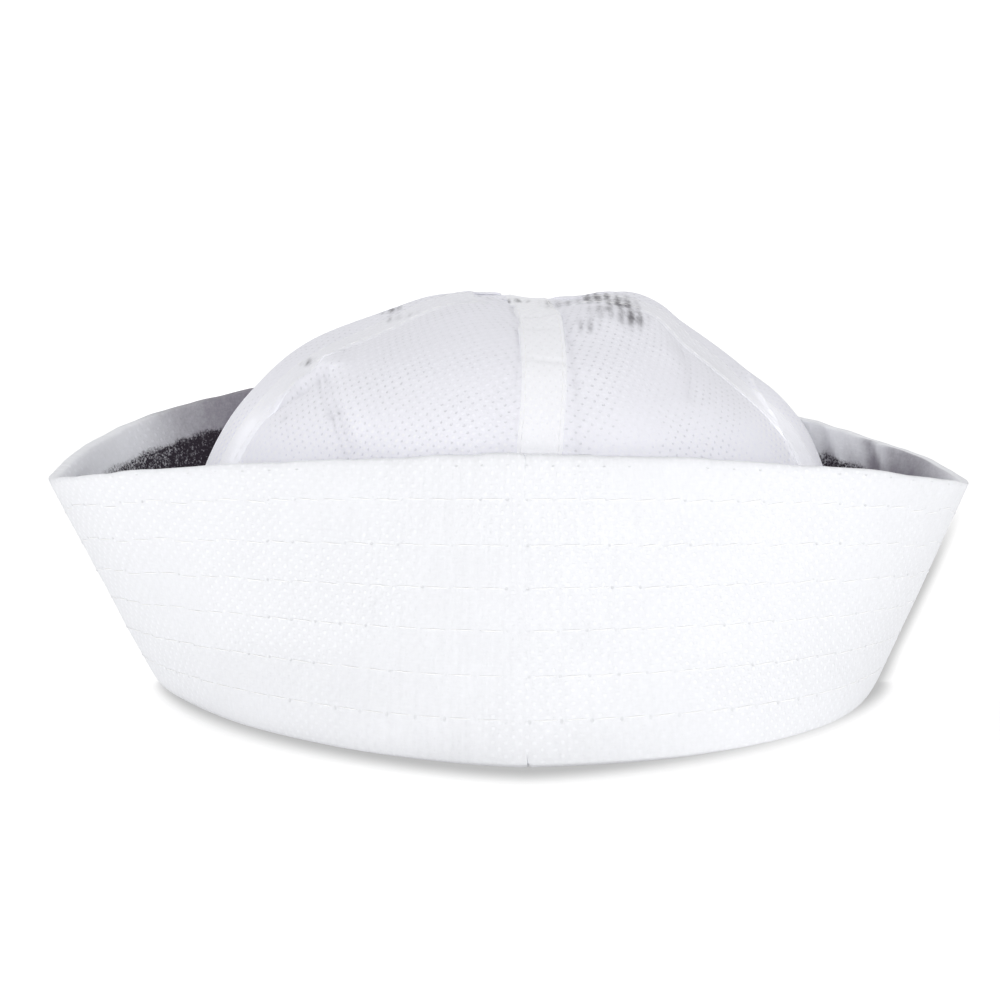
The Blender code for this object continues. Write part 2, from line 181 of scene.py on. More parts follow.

# The inside of the turned-up brim by direction: how much painted shade it gets at the rim and low down, how
# much near-black painted shadow, and that shadow's upper edge in mm
CUFF_COLUMNS = ("direction", "rim_shade", "low_shade", "dark_painted_shadow", "dark_painted_shadow_top")
CUFF_PAINTED_SHADE = (
    (0, 0.0, 0.0, 0.0, 50.0),
    (80, 0.0, 0.0, 0.0, 50.0),
    (86, 0.10, 0.35, 0.0, 58.0),
    (92, 0.45, 0.85, 0.0, 58.0),
    (97, 0.68, 0.96, 0.3, 57.5),
    (103, 0.54, 0.96, 0.6, 58.8),
    (107, 0.32, 0.88, 0.9, 60.0),
    (111, 0.22, 0.74, 0.8, 61.4),
    (115, 0.12, 0.50, 0.7, 62.0),
    (121, 0.30, 0.40, 0.2, 61.0),
    (180, 0.50, 0.50, 0.0, 60.0),
    (227, 0.94, 0.94, 0.6, 64.5),
    (234, 0.88, 0.82, 1.3, 65.0),
    (242, 0.60, 0.60, 1.0, 63.2),
    (248, 0.20, 0.38, 0.85, 60.9),
    (253, 0.0, 0.18, 0.75, 59.5),
    (257, 0.0, 0.08, 0.5, 58.5),
    (263, 0.0, 0.28, 0.0, 58.0),
    (270, 0.0, 0.46, 0.0, 58.0),
    (275, 0.0, 0.40, 0.0, 58.0),
    (282, 0.0, 0.0, 0.0, 50.0),
    (360, 0.0, 0.0, 0.0, 50.0),
)

# Patches of painted shadow on the cloth: middle in mm, radii in mm, strength from 0 to 1
PATCH_COLUMNS = ("x", "y", "z", "rx", "ry", "rz", "strength")
SHADOW_PAINT_PATCHES = (
    (-35.0, -1.0, 109.3, 5.6, 4.0, 1.5, 0.86),
    (-32.0, -9.0, 108.0, 6.0, 6.0, 1.8, 0.46),
    (-26.0, -13.0, 109.0, 5.0, 5.0, 1.8, 0.38),
    (-57.0, -18.6, 97.2, 7.6, 3.6, 1.5, 0.62),
    (34.0, -25.0, 111.0, 5.0, 9.0, 5.0, 0.80),
    (31.5, -13.0, 113.0, 6.0, 12.0, 5.0, 0.84),
    (24.0, -5.0, 114.0, 7.0, 10.0, 5.0, 0.88),
    (15.0, -4.0, 113.5, 6.5, 10.0, 5.0, 0.74),
    (21.0, -32.0, 109.0, 4.6, 6.0, 3.4, 0.46),
    (27.0, -24.0, 112.0, 6.0, 8.0, 3.4, 0.56),
    (-1.0, -1.0, 113.0, 9.0, 3.6, 1.6, 0.90),
)

# The floor's painted shadow round the fold: middle and half sizes of the fold's outline, and how square it is
FOLD_MIDDLE = (4.4 * MM, -5.0 * MM, 0.0)
FOLD_HALF_WIDTH = 103.5 * MM
FOLD_HALF_DEPTH = 83.5 * MM
FOLD_POWER = 1.5

# The floor's painted shadow behind the cap: its right edge is the line x = start + lean * y, soft over its
# width
BEHIND_START = 108.7 * MM
BEHIND_LEAN = 0.2797
BEHIND_SOFT = 5.5 * MM

# How much light the two painted shadows take
PAINTED_SHADOW_DEPTH = 0.5

# The floor sweeps up behind the cap: its width, its length, how far back its middle lies, where it bends and
# the bend's radius, in metres
FLOOR_WIDTH = 9.0
FLOOR_LENGTH = 6.0
FLOOR_SHIFT = 0.6
FLOOR_BEND = 1.2
FLOOR_RADIUS = 0.9

# The lamps, all aimed at one point: place and size in metres, and the setting that holds the power
LAMPS = (
    ("key light", (-0.16, -1.50, 0.55), (0.9, 0.7), "key_power"),
    ("side light", (1.10, -0.35, 0.50), (0.6, 0.6), "side_power"),
    ("back light", (-0.42, 0.55, 1.45), (0.7, 0.5), "back_power"),
)
LAMP_AIM = Vector((0, 0, 0.06))

# The camera's place in metres
CAMERA_PLACE = (-0.00242, -0.7035, 0.1984)


def row_of(columns, values):
    """One line of a table as a dictionary by its column names."""
    return dict(zip(columns, values))


# Settings


class CapClothSettings(bpy.types.PropertyGroup):
    """Sizes and colours of the cloth."""

    weave_width: FloatProperty(
        name="Weave width", default=2.8 * MM, unit="LENGTH", description="Width of one diamond of the weave")
    weave_height: FloatProperty(
        name="Weave height", default=3.0 * MM, unit="LENGTH",
        description="Height of one diamond of the weave")
    brim_weave: FloatProperty(
        name="Brim weave", default=1.11, min=0.1,
        description="How much larger the brim's weave is than the crown's")
    weave_depth: FloatProperty(
        name="Weave depth", default=0.14 * MM, unit="LENGTH",
        description="Depth of the pinholes in the weave")
    slump: FloatProperty(
        name="Slump", default=0.55 * MM, unit="LENGTH",
        description="How far the crown's cloth slumps in and out")
    brim_wave: FloatProperty(
        name="Brim wave", default=0.40 * MM, unit="LENGTH",
        description="How far the brim's cloth waves in and out")
    crown_color: FloatVectorProperty(
        name="Crown colour", default=(0.880, 0.880, 0.938), subtype="COLOR",
        description="Colour of the crown's cloth")
    center_color: FloatVectorProperty(
        name="Centre strip colour", default=(0.950, 0.954, 0.990), subtype="COLOR",
        description="Colour of the strip over the middle seam")
    strip_color: FloatVectorProperty(
        name="Strip colour", default=(0.932, 0.934, 0.984), subtype="COLOR",
        description="Colour of the strips over the side seams")
    brim_color: FloatVectorProperty(
        name="Brim colour", default=(0.880, 0.888, 0.918), subtype="COLOR",
        description="Colour of the brim's cloth")
    # The near-black colour of painted shadow, on the crown's patches and low inside the brim
    shadow_paint_color: FloatVectorProperty(
        name="Grey colour", default=(0.022, 0.015, 0.024), subtype="COLOR",
        description="Colour of the grey patches")
    # The colour of the painted shade inside the brim
    cuff_shade_color: FloatVectorProperty(
        name="Cuff colour", default=(0.24, 0.225, 0.26), subtype="COLOR",
        description="Colour that the inside of the brim turns to")


class CapStitchSettings(bpy.types.PropertyGroup):
    """Sizes and colour of the stitching."""

    brim_pitch: FloatProperty(
        name="Brim stitch pitch", default=7.3 * MM, unit="LENGTH",
        description="Length from one stitch of the brim to the next")
    strip_pitch: FloatProperty(
        name="Strip stitch pitch", default=3.6 * MM, unit="LENGTH",
        description="Length from one stitch of a strip to the next")
    thread: FloatProperty(
        name="Thread", default=0.38 * MM, unit="LENGTH", description="Thickness of the thread")
    edge: FloatProperty(
        name="Edge", default=1.5 * MM, unit="LENGTH", description="From a strip's edge to its stitches")
    sides: IntProperty(
        name="Sides", default=6, min=4, description="Faces round one stitch")
    thread_color: FloatVectorProperty(
        name="Thread colour", default=(0.97, 0.97, 0.98), subtype="COLOR",
        description="Colour of the thread")


class CapStageSettings(bpy.types.PropertyGroup):
    """The floor, the light and the camera."""

    floor_color: FloatVectorProperty(
        name="Floor colour", default=(0.30, 0.30, 0.30), subtype="COLOR",
        description="Colour of the floor and the backdrop")
    floor_glow: FloatProperty(
        name="Floor glow", default=1.0, min=0, description="Light that the floor gives off far from the cap")
    key_power: FloatProperty(
        name="Key power", default=13.6, unit="POWER", description="Power of the light in front of the cap")
    side_power: FloatProperty(
        name="Side power", default=3.1, unit="POWER",
        description="Power of the light to the right of the cap")
    back_power: FloatProperty(
        name="Back power", default=10.0, unit="POWER", description="Power of the light high behind the cap")
    air: FloatProperty(
        name="Air", default=0.10, min=0, description="Strength of the light from all round")
    lens: FloatProperty(
        name="Lens", default=88.92, unit="CAMERA", description="Focal length of the camera in mm")
    camera_pitch: FloatProperty(
        name="Camera pitch", default=0.203, subtype="ANGLE", description="How far the camera looks down")


# Shader maths


class Value:
    """A number's socket in a material; arithmetic on it adds Math nodes."""

    def __init__(self, maker, socket):
        self.maker, self.socket = maker, socket

    def math(self, operation, *others):
        return self.maker.math(operation, self, *others)

    def __add__(self, other):
        return self.math("ADD", other)

    def __sub__(self, other):
        return self.math("SUBTRACT", other)

    def __mul__(self, other):
        return self.math("MULTIPLY", other)

    def __truediv__(self, other):
        return self.math("DIVIDE", other)

    def __rsub__(self, other):
        return self.maker.math("SUBTRACT", other, self)

    __radd__, __rmul__ = __add__, __mul__


class Maker:
    """Adds the nodes of one material."""

    def __init__(self, name):
        self.material = bpy.data.materials.new(name)
        self.material.use_nodes = True
        self.tree = self.material.node_tree
        self.tree.nodes.clear()
        self.place = self.node("ShaderNodeTexCoord").outputs["Object"]

    def node(self, kind, settings=None, **values):
        """A node of this kind: its settings come first, then the values or links of its sockets."""
        node = self.tree.nodes.new(kind)
        for name, value in (settings or {}).items():
            setattr(node, name, value)
        for name, value in values.items():
            key = int(name[1:]) if name[0] == "n" and name[1:].isdigit() else name.replace("_", " ")
            self.put(node.inputs[key], value)
        return node

    def put(self, socket, value):
        """Links a socket, or sets its value."""
        value = value.socket if isinstance(value, Value) else value
        if isinstance(value, bpy.types.NodeSocket):
            self.tree.links.new(value, socket)
        else:
            socket.default_value = value

    def math(self, operation, *values):
        """One Math node."""
        sockets = {f"n{i}": value for i, value in enumerate(values)}
        return Value(self, self.node("ShaderNodeMath", {"operation": operation}, **sockets).outputs[0])

    def step(self, value, low, high, out_low=0.0, out_high=1.0):
        """A smooth step of the value between two limits."""
        node = self.node(
            "ShaderNodeMapRange", {"interpolation_type": "SMOOTHSTEP"},
            Value=value, From_Min=low, From_Max=high, To_Min=out_low, To_Max=out_high)
        return Value(self, node.outputs["Result"])

    def noise(self, place, scale, detail=2.0, roughness=0.5):
        """Cloudy noise from 0 to 1."""
        node = self.node(
            "ShaderNodeTexNoise", {}, Vector=place, Scale=scale, Detail=detail, Roughness=roughness)
        return Value(self, node.outputs["Fac"])

    def mix(self, share, first, second):
        """A colour between two colours."""
        return self.node("ShaderNodeMix", {"data_type": "RGBA"}, n0=share, n6=first, n7=second).outputs[2]

    def tinted(self, color, level):
        """A colour made lighter or darker by a level."""
        node = self.node("ShaderNodeVectorMath", {"operation": "SCALE"}, n0=tuple(color), Scale=level)
        return node.outputs[0]

    def stretched(self, place, x, y, z):
        """A place with each of its three numbers multiplied."""
        node = self.node("ShaderNodeVectorMath", {"operation": "MULTIPLY"}, n0=place, n1=(x, y, z))
        return node.outputs[0]

    def parts(self, vector):
        """The three numbers of a place."""
        node = self.node("ShaderNodeSeparateXYZ", {}, Vector=vector)
        return [Value(self, socket) for socket in node.outputs]

    def painted(self, name):
        """A number that the mesh keeps at each vertex."""
        return Value(self, self.node("ShaderNodeAttribute", {"attribute_name": name}).outputs["Fac"])

    def surface(self, **values):
        """The surface shader with these values, as the material's output."""
        shader = self.node("ShaderNodeBsdfPrincipled", {}, **values)
        self.node("ShaderNodeOutputMaterial", {}, Surface=shader.outputs[0])
        return self.material


def stitch_holes(m, hole_pitch):
    """How deep in a stitch hole each place of the brim is, from 0 to 1; some holes are fainter."""
    along, row, _ = m.parts(m.node("ShaderNodeUVMap", {"uv_map": "rows"}).outputs[0])
    from_hole = (along.math("FRACT") - 0.5) * (hole_pitch / MM)
    from_row = (row.math("FRACT") - 0.5) * (ROW_GAP / MM)
    gap = (from_hole * from_hole + from_row * from_row).math("SQRT")
    fainter = m.step(m.noise(m.place, 70.0, 0.0), 0.30, 0.65)
    return m.step(gap, 0.16, 0.55, 1.0, 0.0) * fainter * m.painted("outside")


def cloth_material(name, color, cloth, hole_shade, hole_depth=1.0, weave=1.0, hole_pitch=None):
    """White bird's-eye cloth: pinholes in staggered diamonds, uneven yarns, and painted shade, light and
    shadow where the piece says so.

    With a pitch of stitch holes it is the brim's cloth, which has slubs and painted shade inside.
    """
    m = Maker(name)
    flat_cloth = m.node("ShaderNodeUVMap", {"uv_map": "cloth"}).outputs[0]
    place = m.place
    across, along, _ = m.parts(flat_cloth)
    sideways, _, _ = m.parts(place)
    wander = m.noise(place, 150.0, 1.0) - 0.5
    first = (across * (math.tau / (cloth.weave_width * weave)) + wander * 2.0).math("COSINE")
    second = (along * (math.tau / (cloth.weave_height * weave)) + wander * 2.0).math("COSINE")
    lattice = first * second
    open_cloth = m.step(m.noise(place, 60.0, 2.0), 0.36, 0.60)
    waffle = m.step(m.noise(place, 21.0, 1.0), 0.42, 0.60)
    holes = m.step(lattice, 0.68, 1.0) * (open_cloth * 0.75 + 0.25)
    floats = m.step(lattice * -1.0, 0.35, 0.95) * (waffle * 0.8 + 0.2)
    yarns = m.noise(m.stretched(flat_cloth, 1150.0, 330.0, 1.0), 1.0, 2.0) - 0.5
    rows = m.noise(m.stretched(flat_cloth, 330.0, 1500.0, 1.0), 1.0, 2.0) - 0.5
    cloudy = m.noise(place, 38.0, 3.0) - 0.5
    speckle = m.noise(m.stretched(place, 1.0, 0.4, 0.5), 620.0, 2.0, 0.65) - 0.5
    # Painted shade in the pinholes, a painted highlight on the raised floats, and uneven yarns
    level = 1.0 - holes * hole_shade + floats * 0.05 + yarns * 0.07 + rows * 0.05 + cloudy * 0.03
    # Painted shade and painted light that the mesh carries
    level = level - m.painted("dim") * 0.25
    height = floats * 0.5 - holes * hole_depth + (yarns + rows) * 0.5
    # How much painted shadow the piece carries here
    grey = m.painted("grey")
    if hole_pitch is None:
        streaks = m.noise(m.stretched(flat_cloth, 900.0, 150.0, 1.0), 1.0, 1.0) - 0.5
        stripes = (sideways * (math.tau / cloth.weave_width) + wander * 2.0).math("COSINE")
        shade = m.tinted(color, level)
        # Mottled near-black painted shadow on the crown's patches
        dark_painted_shadow = m.step(grey * (speckle * 1.6 + streaks * 0.6 + stripes * 0.30 + 1.0), 0.10, 1.2) * 0.80
    else:
        mottle = m.noise(place, 1500.0, 2.0, 0.7) - 0.5
        slubs = m.noise(m.stretched(flat_cloth, 640.0, 70.0, 1.0), 1.0, 1.0) - 0.5
        middle = m.step(sideways.math("ABSOLUTE"), 0.02, 0.07, 1.0, 0.3)
        pierced = stitch_holes(m, hole_pitch)
        # Slubs, a painted highlight on the floats that is weaker in the middle, and painted shade in the
        # stitch holes
        level = level + slubs * middle * 0.07 - floats * middle * 0.025 + floats * 0.03 - pierced * 0.11
        height = height + slubs * middle * 1.4 - pierced * 0.9
        # Painted shade inside the brim, mottled
        covered = m.painted("inside") * (cloudy * 0.5 + speckle * 0.35 + mottle * 0.30 + 1.0)
        shade = m.mix(m.step(covered, 0.0, 1.0), m.tinted(color, level), (*cloth.cuff_shade_color, 1.0))
        # Mottled near-black painted shadow low inside the brim
        dark_painted_shadow = m.step(grey * (speckle * 0.9 + mottle * 2.6 + 1.0), 0.16, 1.0)
    bump = m.node("ShaderNodeBump", {}, Strength=1.0, Distance=cloth.weave_depth, Height=height).outputs[0]
    return m.surface(
        Base_Color=m.mix(dark_painted_shadow, shade, (*cloth.shadow_paint_color, 1.0)), Normal=bump,
        Roughness=0.86 + holes * 0.1, Specular_IOR_Level=0.25, Sheen_Weight=0.08, Sheen_Roughness=0.6)


def thread_material(name, color):
    """Twisted cotton thread."""
    m = Maker(name)
    twist = m.noise(m.stretched(m.place, 1.0, 1.0, 2.5), 1500.0, 1.0)
    bump = m.node("ShaderNodeBump", {}, Strength=0.6, Distance=0.08 * MM, Height=twist).outputs[0]
    return m.surface(
        Base_Color=m.tinted(color, twist * 0.10 + 0.93), Roughness=0.7 + twist * 0.15, Normal=bump)


# Cloth shapes


def deselect_all():
    """Leaves edit mode and selects nothing."""
    if bpy.context.object and bpy.context.object.mode != "OBJECT":
        bpy.ops.object.mode_set(mode="OBJECT")
    bpy.ops.object.select_all(action="DESELECT")


def new_piece(name, mesh):
    """An object of this name with the mesh, selected."""
    deselect_all()
    piece = bpy.data.objects.new(name, mesh)
    bpy.context.scene.collection.objects.link(piece)
    mesh.name = name
    piece.select_set(True)
    bpy.context.view_layer.objects.active = piece
    return piece


def cloth_copy(node_name, piece_name, hold):
    """A copy of a solid with its loose triangles joined, its sharp edges held and its faces divided."""
    piece = new_piece(piece_name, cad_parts[node_name].data.copy())
    piece.data.materials.clear()
    bpy.ops.object.mode_set(mode="EDIT")
    bpy.ops.mesh.select_all(action="SELECT")
    bpy.ops.mesh.remove_doubles(threshold=0.01 * MM)
    bpy.ops.mesh.tris_convert_to_quads(face_threshold=math.radians(50), shape_threshold=math.radians(60))
    bpy.ops.mesh.select_all(action="DESELECT")
    bpy.ops.mesh.select_mode(type="EDGE")
    bpy.ops.mesh.edges_select_sharp(sharpness=math.radians(48))
    bpy.ops.transform.edge_crease(value=hold)
    bpy.ops.object.mode_set(mode="OBJECT")
    smooth = piece.modifiers.new("Smooth cloth", "SUBSURF")
    smooth.levels = smooth.render_levels = CLOTH_LEVELS
    bpy.ops.object.modifier_apply(modifier=smooth.name)
    bpy.ops.object.shade_smooth()
    return piece


def points_of(piece):
    """The places of a piece's vertices, one to a row."""
    flat = np.empty(len(piece.data.vertices) * 3, np.float32)
    piece.data.vertices.foreach_get("co", flat)
    return flat.reshape(-1, 3).astype(float)


def brim_solid_points():
    """The vertices of the frame's two brim halves."""
    return np.concatenate([points_of(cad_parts[f"brim_{side}"]) for side in BRIM_DIRECTIONS])


def set_points(piece, points):
    """Moves a piece's vertices to these places."""
    piece.data.vertices.foreach_set("co", points.astype(np.float32).ravel())
    piece.data.update()


def set_map(piece, name, across, along):
    """A UV map from two numbers at each vertex."""
    corners = np.empty(len(piece.data.loops), np.int32)
    piece.data.loops.foreach_get("vertex_index", corners)
    layer = piece.data.uv_layers.new(name=name)
    layer.data.foreach_set("uv", np.stack((across[corners], along[corners]), 1).astype(np.float32).ravel())


def set_number(piece, name, values):
    """A number at each vertex for the material to read."""
    attribute = piece.data.attributes.new(name, "FLOAT", "POINT")
    attribute.data.foreach_set("value", values.astype(np.float32))


def directions_of(points):
    """Degrees round the cap's axis from the front, and metres out from it."""
    x, y = points[:, 0] - AXIS[0], points[:, 1] - AXIS[1]
    return np.degrees(np.arctan2(x, -y)) % 360, np.hypot(x, y)


def ways_at(direction):
    """The level way out from the cap's axis at a direction in degrees, and the way round it there."""
    angle = math.radians(direction)
    return np.array((math.sin(angle), -math.cos(angle), 0)), np.array((math.cos(angle), math.sin(angle), 0))


def soft_noise(points, size, seed):
    """Smooth noise from -1 to 1, with bumps about this many metres wide."""
    table = np.random.default_rng(seed).uniform(-1, 1, (32, 32, 32))
    place = points / size
    cell = np.floor(place).astype(int)
    share = place - cell
    share = share * share * (3 - 2 * share)
    total = np.zeros(len(points))
    for corner in itertools.product((0, 1), repeat=3):
        weight = np.prod(np.where(corner, share, 1 - share), axis=1)
        i = (cell + corner) % 32
        total += weight * table[i[:, 0], i[:, 1], i[:, 2]]
    return total


def ease(values, start, end):
    """0 before start, 1 after end and smooth between them."""
    share = np.clip((values - start) / (end - start), 0, 1)
    return share * share * (3 - 2 * share)


def between(values, rise, full, fade, end):
    """0 outside a range, 1 inside it and smooth at both ends."""
    return ease(values, rise, full) * (1 - ease(values, fade, end))


def near_line(points, start, end, width):
    """1 on a line and fading to 0 beside it and at its ends."""
    line = end - start
    share = np.clip((points - start) @ line / (line @ line), 0, 1)
    gap = np.linalg.norm(points - start - share[:, None] * line, axis=1)
    return np.exp(-((gap / width) ** 2))


def crown_outward(points):
    """Which way is out of the crown at each point."""
    out = (points - CROWN_MIDDLE) / CROWN_HALF_SIZE**2
    return out / np.linalg.norm(out, axis=1)[:, None]


def crown_relief(points, slump):
    """Metres that the crown's cloth stands out at each point, from slump and creases, and its painted
    shading: painted shade in creases, painted highlights on bulges and painted light low down.
    """
    relief = slump * (0.35 + soft_noise(points, 30 * MM, 11) + 0.45 * soft_noise(points, 11 * MM, 12))
    dim = np.zeros(len(points))
    for values in CROWN_CREASES:
        c = row_of(CREASE_COLUMNS, values)
        start = np.array((c["x1"], c["y1"], c["z1"])) * MM
        end = np.array((c["x2"], c["y2"], c["z2"])) * MM
        share = near_line(points, start, end, c["width"] * MM)
        relief += c["raise"] * MM * share
        dim += c["dim"] * share
    bounce = 1 - ease(points[:, 2], *BOUNCE_HEIGHTS)
    return relief * ease(points[:, 2], 20 * MM, 45 * MM), dim - BOUNCE * bounce


def shadow_paint_at(points):
    """How much painted shadow the cloth gets at each point, from the table of patches."""
    grey = np.zeros(len(points))
    for values in SHADOW_PAINT_PATCHES:
        c = row_of(PATCH_COLUMNS, values)
        middle = np.array((c["x"], c["y"], c["z"])) * MM
        radii = np.array((c["rx"], c["ry"], c["rz"])) * MM
        gap = (points - middle) / radii
        grey = np.maximum(grey, c["strength"] * np.exp(-np.sum(gap * gap, axis=1)))
    return grey


def meridian(points):
    """Metres up the crown's curve at each point, from the table to its top."""
    out = (points - CROWN_MIDDLE) / CROWN_HALF_SIZE
    up = np.arctan2(out[:, 2], np.hypot(out[:, 0], out[:, 1]))
    return 99 * MM * up + 7.5 * MM * np.sin(2 * up)


def across_strip(points, across):
    """Metres from the middle of a strip, whose middle wanders as it climbs."""
    height = np.round(points[:, 2] / (2 * MM)).astype(int)
    behind = points[:, 1] > AXIS[1]
    middle = np.zeros(len(points))
    for level in np.unique(height):
        for half in (False, True):
            here = (height == level) & (behind == half)
            if here.any():
                middle[here] = (across[here].min() + across[here].max()) / 2
    return across - middle


def settings():
    """The settings of the cloth, the stitching and the stage."""
    scene = bpy.context.scene
    return scene.cap_cloth, scene.cap_stitch, scene.cap_stage


def finish_piece(piece, material, node_name):
    """Gives a piece its material and sets it in the place of a solid of the frame."""
    piece.data.materials.append(material)
    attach(piece, "root")
    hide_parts(node_name)


class CAP_OT_crown_panels(bpy.types.Operator):
    """Dress the six panels of the crown"""

    bl_idname = "cap.crown_panels"
    bl_label = "Crown panels"

    def execute(self, context):
        cloth, _, _ = settings()
        material = cloth_material("crown cloth", cloth.crown_color, cloth, 0.125)
        for number, (start, end) in enumerate(itertools.pairwise(PANEL_EDGES), 1):
            piece = cloth_copy(f"crown_panel_{number}", f"panel_cloth_{number}", CROWN_HOLD)
            points = points_of(piece)
            direction, reach = directions_of(points)
            middle = (start + end) / 2
            aside = np.radians((direction - middle + 180) % 360 - 180)
            set_map(piece, "cloth", reach * np.sin(aside), meridian(points))
            # Patches of painted shadow
            set_number(piece, "grey", shadow_paint_at(points))
            # Painted shade in creases, painted highlights on bulges and painted light low on the crown
            relief, dim = crown_relief(points, cloth.slump)
            set_number(piece, "dim", dim)
            set_points(piece, points + crown_outward(points) * relief[:, None])
            finish_piece(piece, material, f"crown_panel_{number}")
        return {"FINISHED"}


class CAP_OT_seam_strips(bpy.types.Operator):
    """Dress the strips over the seams of the crown"""

    bl_idname = "cap.seam_strips"
    bl_label = "Seam strips"

    def execute(self, context):
        cloth, _, _ = settings()
        center_material = cloth_material("center strip cloth", cloth.center_color, cloth, 0.05, 0.4)
        side_material = cloth_material("side strip cloth", cloth.strip_color, cloth, 0.03, 0.3)
        for name, direction in STRIP_DIRECTIONS.items():
            piece = cloth_copy(f"seam_strip_{name}", f"strip_cloth_{name}", CROWN_HOLD)
            points = points_of(piece)
            way, side = ways_at(direction)
            across = (points - AXIS) @ side
            along = 100 * MM * np.arctan2(points[:, 2], (points - AXIS) @ way)
            set_map(piece, "cloth", across, along)
            # Patches of painted shadow
            set_number(piece, "grey", shadow_paint_at(points))
            relief, dim = crown_relief(points, cloth.slump)
            edge = ease(np.abs(across_strip(points, across)), *EDGE_PRESS_BAND)
            relief = relief - STRIP_SETTLE - EDGE_PRESS * edge
            # Painted shade on the side strips towards the top of the crown
            if name != "center":
                dim = dim + STRIP_FADE * ease(points[:, 2], *STRIP_FADE_HEIGHTS)
            set_number(piece, "dim", dim)
            set_points(piece, points + crown_outward(points) * relief[:, None])
            material = center_material if name == "center" else side_material
            finish_piece(piece, material, f"seam_strip_{name}")
        return {"FINISHED"}


def rim_of_piece(points):
    """The brim's height at each point, from the highest vertices round it."""
    direction, _ = directions_of(points)
    cell = (direction // 4).astype(int)
    top = np.array([points[cell == i, 2].max() if np.any(cell == i) else np.nan for i in range(90)])
    known = ~np.isnan(top)
    spots = np.arange(90)[known] * 4 + 2.0
    spots = np.r_[spots[-1] - 360, spots, spots[0] + 360]
    return np.interp(direction, spots, np.r_[top[known][-1], top[known], top[known][0]])


def girth_table():
    """Degrees from the front, and metres round the brim's middle height up to each, from its solids."""
    points = brim_solid_points()
    direction, reach = directions_of(points)
    wall = (points[:, 2] > 20 * MM) & (points[:, 2] < 55 * MM)
    spots = np.arange(0, 361, 6.0)
    mean = np.array([reach[wall & (np.abs((direction - s + 180) % 360 - 180) < 4)].mean() for s in spots])
    degrees = np.arange(0, 361.0)
    out = np.interp(degrees, spots, mean)
    x, y = out * np.sin(np.radians(degrees)), out * np.cos(np.radians(degrees))
    return degrees, np.r_[0, np.cumsum(np.hypot(np.diff(x), np.diff(y)))]


def row_number(share):
    """Which row of stitches a share of the brim's height is at, with parts of a row between them."""
    numbers = (-0.5, *range(len(ROW_SHARES)), len(ROW_SHARES) - 0.5)
    return np.interp(share, (0.0, *ROW_SHARES, 1.0), numbers) + 0.5


def level_outward(points):
    """The level way out from the cap's axis at each point."""
    ways = np.stack((points[:, 0] - AXIS[0], points[:, 1] - AXIS[1], np.zeros(len(points))), 1)
    return ways / np.linalg.norm(ways, axis=1)[:, None]


def facing_inward(piece, outward):
    """How far each vertex of a piece faces the cap's axis, from -1 to 1."""
    flat = np.empty(len(piece.data.vertices) * 3, np.float32)
    piece.data.vertex_normals.foreach_get("vector", flat)
    return -np.sum(flat.reshape(-1, 3) * outward, axis=1)


def brim_stands_out(points, direction, row, inner, wave):
    """Metres that the brim's cloth stands out from its solid: waves, pressed rows and full corners."""
    waves = wave * soft_noise(points, 26 * MM, 21) + 0.4 * wave * soft_noise(points, 9 * MM, 22)
    from_row = np.abs(row % 1 - 0.5) * 2
    waves = waves - ROW_PRESS * np.exp(-(from_row * 5.0) ** 2)
    corner = CORNER_LEFT * between(direction, *CORNER_LEFT_SPAN)
    corner = corner + CORNER_RIGHT * between(direction, *CORNER_RIGHT_SPAN)
    low = 1 - ease(points[:, 2], 4 * MM, 30 * MM)
    fuller = BRIM_FULLER * (1 - inner) + corner * low
    up_wall, off_table = ease(points[:, 2], 3 * MM, 12 * MM), ease(points[:, 2], -0.5 * MM, 1.0 * MM)
    return waves * up_wall + fuller * off_table


def seam_draw(direction, reach):
    """Metres round the brim that each point is drawn towards the nearer seam of the two halves."""
    aside = np.radians(direction - BRIM_SEAM_DIRECTION)
    from_seam = reach * np.sin(aside)
    draw = SEAM_DRAW * (1 - ease(np.abs(from_seam), 0, SEAM_DRAW_LENGTH)) * -np.sign(from_seam)
    return draw * np.where(np.cos(aside) > 0, 1.0, -1.0)


def rim_lift(points, direction, share):
    """Metres that the uneven rim lies above or below the solid's."""
    uneven = RIM_RIPPLE * soft_noise(points, 5 * MM, 23) + RIM_WANDER * soft_noise(points, 14 * MM, 24)
    return ease(share, 0.90, 1.0) * (uneven - RIM_LOWER * between(direction, *RIM_LOWER_SPAN))


